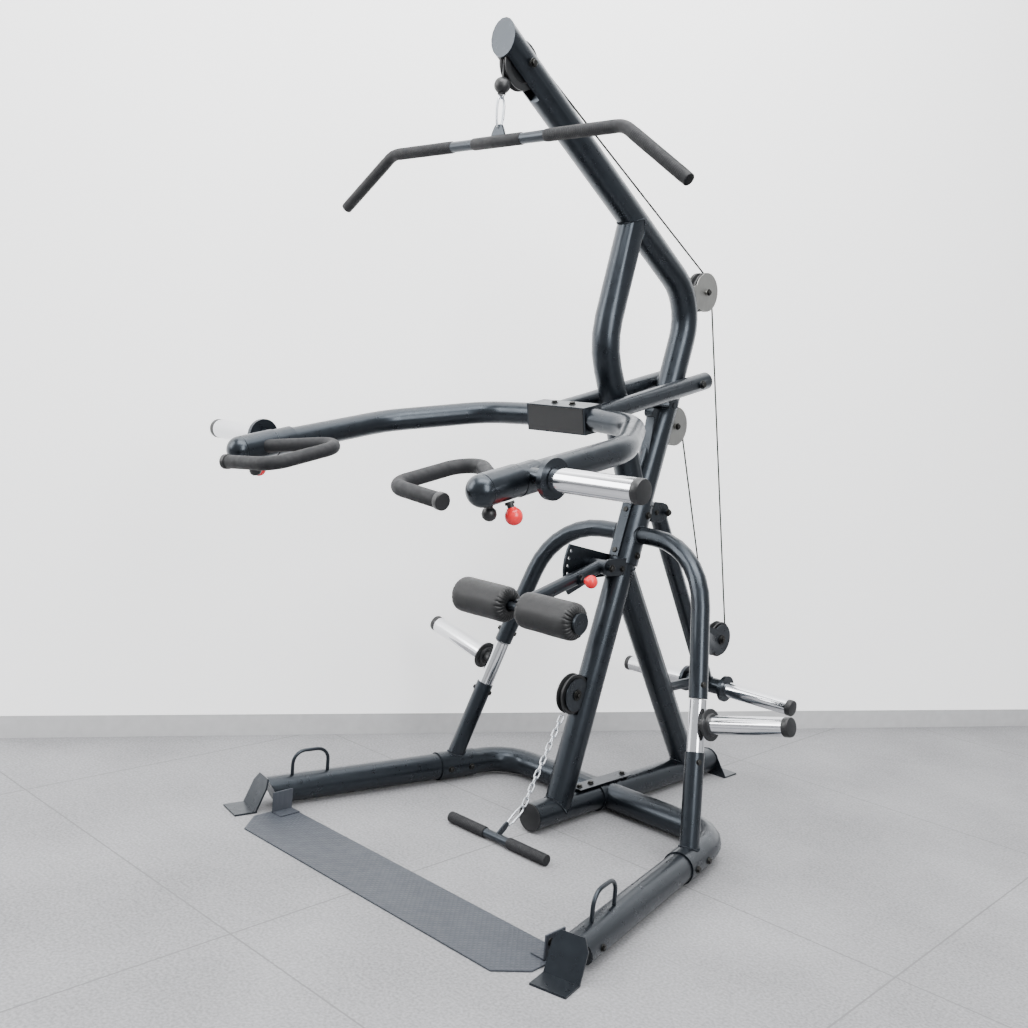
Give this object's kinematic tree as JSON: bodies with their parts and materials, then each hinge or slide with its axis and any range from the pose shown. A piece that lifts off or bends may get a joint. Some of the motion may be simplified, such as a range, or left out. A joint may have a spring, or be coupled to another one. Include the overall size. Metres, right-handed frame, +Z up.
{
  "type": "multi station home gym",
  "caption": "Free-standing plate-loaded gym with a lat pull-down cable station, swinging press arm, leg hold-down rollers and a low pulley.",
  "frame": {"origin": "centre of the footprint, on the floor", "axes": "+Z up; +X to the gym's right; -Y towards the open front of the base"},
  "size_m": [1.403, 1.7114, 2.0194],
  "materials": {
    "coated": "satin powder coat",
    "chrome": "polished",
    "tread": "matt, fine raised pattern",
    "guard": "satin",
    "pulley": "satin moulded",
    "knob": "glossy red",
    "foam_cover": "grained vinyl over foam",
    "grip": "ribbed matt grips",
    "zinc": "bright zinc plate",
    "jacket": "coated steel cable"
  },
  "bodies": {
    "frame": {"centre_beam": "coated", "rear_foot": "coated", "base_cross": "coated", "leg_sleeve_right": "coated", "leg_sleeve_left": "coated", "leg_right": "coated", "leg_left": "coated", "foot_right": "coated", "foot_left": "coated", "column": "coated", "rear_strut": "coated", "collar": "coated", "arch_right": "coated", "arch_left": "coated", "boom": "coated", "arm_rest": "coated", "low_bracket": "coated", "top_axle": "coated", "lever_bracket": "coated", "hold_bracket": "coated", "storage_horn_right": "chrome", "storage_horn_left": "chrome", "tread_plate": "tread", "upper_guard": "guard", "mid_guard": "guard", "cable_drop": "jacket", "cable_top": "jacket", "cable_inside": "jacket"},
    "press_arm": {"press_yoke": "coated", "press_arm_right": "coated", "press_arm_left": "coated", "press_horn_right": "chrome", "press_horn_left": "chrome"},
    "handle_r": {"handle_right": "coated"},
    "handle_l": {"handle_left": "coated"},
    "pin_r": {"handle_pin_right": "knob"},
    "pin_l": {"handle_pin_left": "knob"},
    "lever": {"lat_lever": "coated", "lever_horn_right": "chrome", "lever_horn_left": "chrome", "cable_lever": "jacket"},
    "wheel_lever": {"pulley_lever": "pulley"},
    "wheel_top": {"pulley_top": "pulley"},
    "wheel_upper": {"pulley_upper": "pulley"},
    "wheel_mid": {"pulley_mid": "pulley"},
    "wheel_low": {"pulley_low": "pulley"},
    "hook": {"lat_hook": "zinc"},
    "bar": {"lat_bar": "grip"},
    "rear_fall": {"cable_rear_fall": "jacket"},
    "front_fall": {"cable_front_fall": "jacket"},
    "hold": {"hold_arm": "coated"},
    "pin_hold": {"hold_pin": "knob"},
    "roll_r": {"roller_right": "foam_cover"},
    "roll_l": {"roller_left": "foam_cover"},
    "low_grip": {"low_bar": "grip", "low_chain": "zinc"}
  },
  "joints": [
    {"name": "press_swing", "type": "hinge", "parent": "frame", "child": "press_arm", "pos_m": [0, 0.389, 1.24], "axis": [-1, 0, 0], "range_deg": [0, 36]},
    {"name": "handle_turn_right", "type": "hinge", "parent": "press_arm", "child": "handle_r", "pos_m": [0.41, -0.73371, 0.99094], "axis": [0, 0.9763, 0.2166], "range_deg": [-90, 90]},
    {"name": "handle_turn_left", "type": "hinge", "parent": "press_arm", "child": "handle_l", "pos_m": [-0.41, -0.73371, 0.99094], "axis": [0, 0.9763, 0.2166], "range_deg": [-90, 90]},
    {"name": "pin_pull_right", "type": "slide", "parent": "handle_r", "child": "pin_r", "axis": [0.3303, 0.2044, -0.9215], "range_m": [0, 0.012], "stiffness_N_per_m": 900},
    {"name": "pin_pull_left", "type": "slide", "parent": "handle_l", "child": "pin_l", "axis": [-0.3303, 0.2044, -0.9215], "range_m": [0, 0.012], "stiffness_N_per_m": 900},
    {"name": "lever_swing", "type": "hinge", "parent": "frame", "child": "lever", "pos_m": [0, 0.368, 0.868], "axis": [1, 0, 0], "range_deg": [0, 48]},
    {"name": "lever_wheel_spin", "type": "hinge", "parent": "lever", "child": "wheel_lever", "pos_m": [0, 0.766, 0.447], "axis": [1, 0, 0], "continuous": true},
    {"name": "top_wheel_spin", "type": "hinge", "parent": "frame", "child": "wheel_top", "pos_m": [0, -0.352, 1.929], "axis": [1, 0, 0], "continuous": true},
    {"name": "upper_wheel_spin", "type": "hinge", "parent": "frame", "child": "wheel_upper", "pos_m": [0, 0.486, 1.51], "axis": [1, 0, 0], "continuous": true},
    {"name": "mid_wheel_spin", "type": "hinge", "parent": "frame", "child": "wheel_mid", "pos_m": [0, 0.397, 1.116], "axis": [1, 0, 0], "continuous": true},
    {"name": "low_wheel_spin", "type": "hinge", "parent": "frame", "child": "wheel_low", "pos_m": [0, 0.057, 0.366], "axis": [1, 0, 0], "continuous": true},
    {"name": "lat_pull", "type": "slide", "parent": "frame", "child": "hook", "axis": [0, 0, -1], "range_m": [0, 0.55]},
    {"name": "bar_swivel", "type": "hinge", "parent": "hook", "child": "bar", "pos_m": [0, -0.403, 1.8], "axis": [0, 0, 1], "range_deg": [-35, 35]},
    {"name": "rear_fall_swing", "type": "hinge", "parent": "frame", "child": "rear_fall", "pos_m": [0, 0.486, 1.51], "axis": [1, 0, 0], "range_deg": [0, 22], "deforming": ["cable_rear_fall"]},
    {"name": "front_fall_swing", "type": "hinge", "parent": "frame", "child": "front_fall", "pos_m": [0, 0.397, 1.116], "axis": [1, 0, 0], "range_deg": [0, 37], "deforming": ["cable_front_fall"]},
    {"name": "hold_swing", "type": "hinge", "parent": "frame", "child": "hold", "pos_m": [0, 0.127, 0.718], "axis": [-1, 0, 0], "range_deg": [-25, 35]},
    {"name": "hold_pin_pull", "type": "slide", "parent": "hold", "child": "pin_hold", "axis": [1, 0, 0], "range_m": [0, 0.012], "stiffness_N_per_m": 900},
    {"name": "roller_spin_right", "type": "hinge", "parent": "hold", "child": "roll_r", "pos_m": [0, -0.198, 0.629], "axis": [1, 0, 0], "continuous": true},
    {"name": "roller_spin_left", "type": "hinge", "parent": "hold", "child": "roll_l", "pos_m": [0, -0.198, 0.629], "axis": [1, 0, 0], "continuous": true},
    {"name": "low_swing", "type": "hinge", "parent": "frame", "child": "low_grip", "pos_m": [0, 0.057, 0.366], "axis": [-1, 0, 0], "range_deg": [0, 60]}
  ],
  "couplings": [
    {"joint": "lat_pull", "follows": "lever_swing", "m_per_rad": 0.654},
    {"joint": "rear_fall_swing", "follows": "lever_swing", "ratio": 0.4486},
    {"joint": "front_fall_swing", "follows": "lever_swing", "ratio": 0.7513},
    {"joint": "top_wheel_spin", "follows": "lever_swing", "ratio": 12.8},
    {"joint": "upper_wheel_spin", "follows": "lever_swing", "ratio": 13.6},
    {"joint": "lever_wheel_spin", "follows": "lever_swing", "ratio": 4.7}
  ]
}
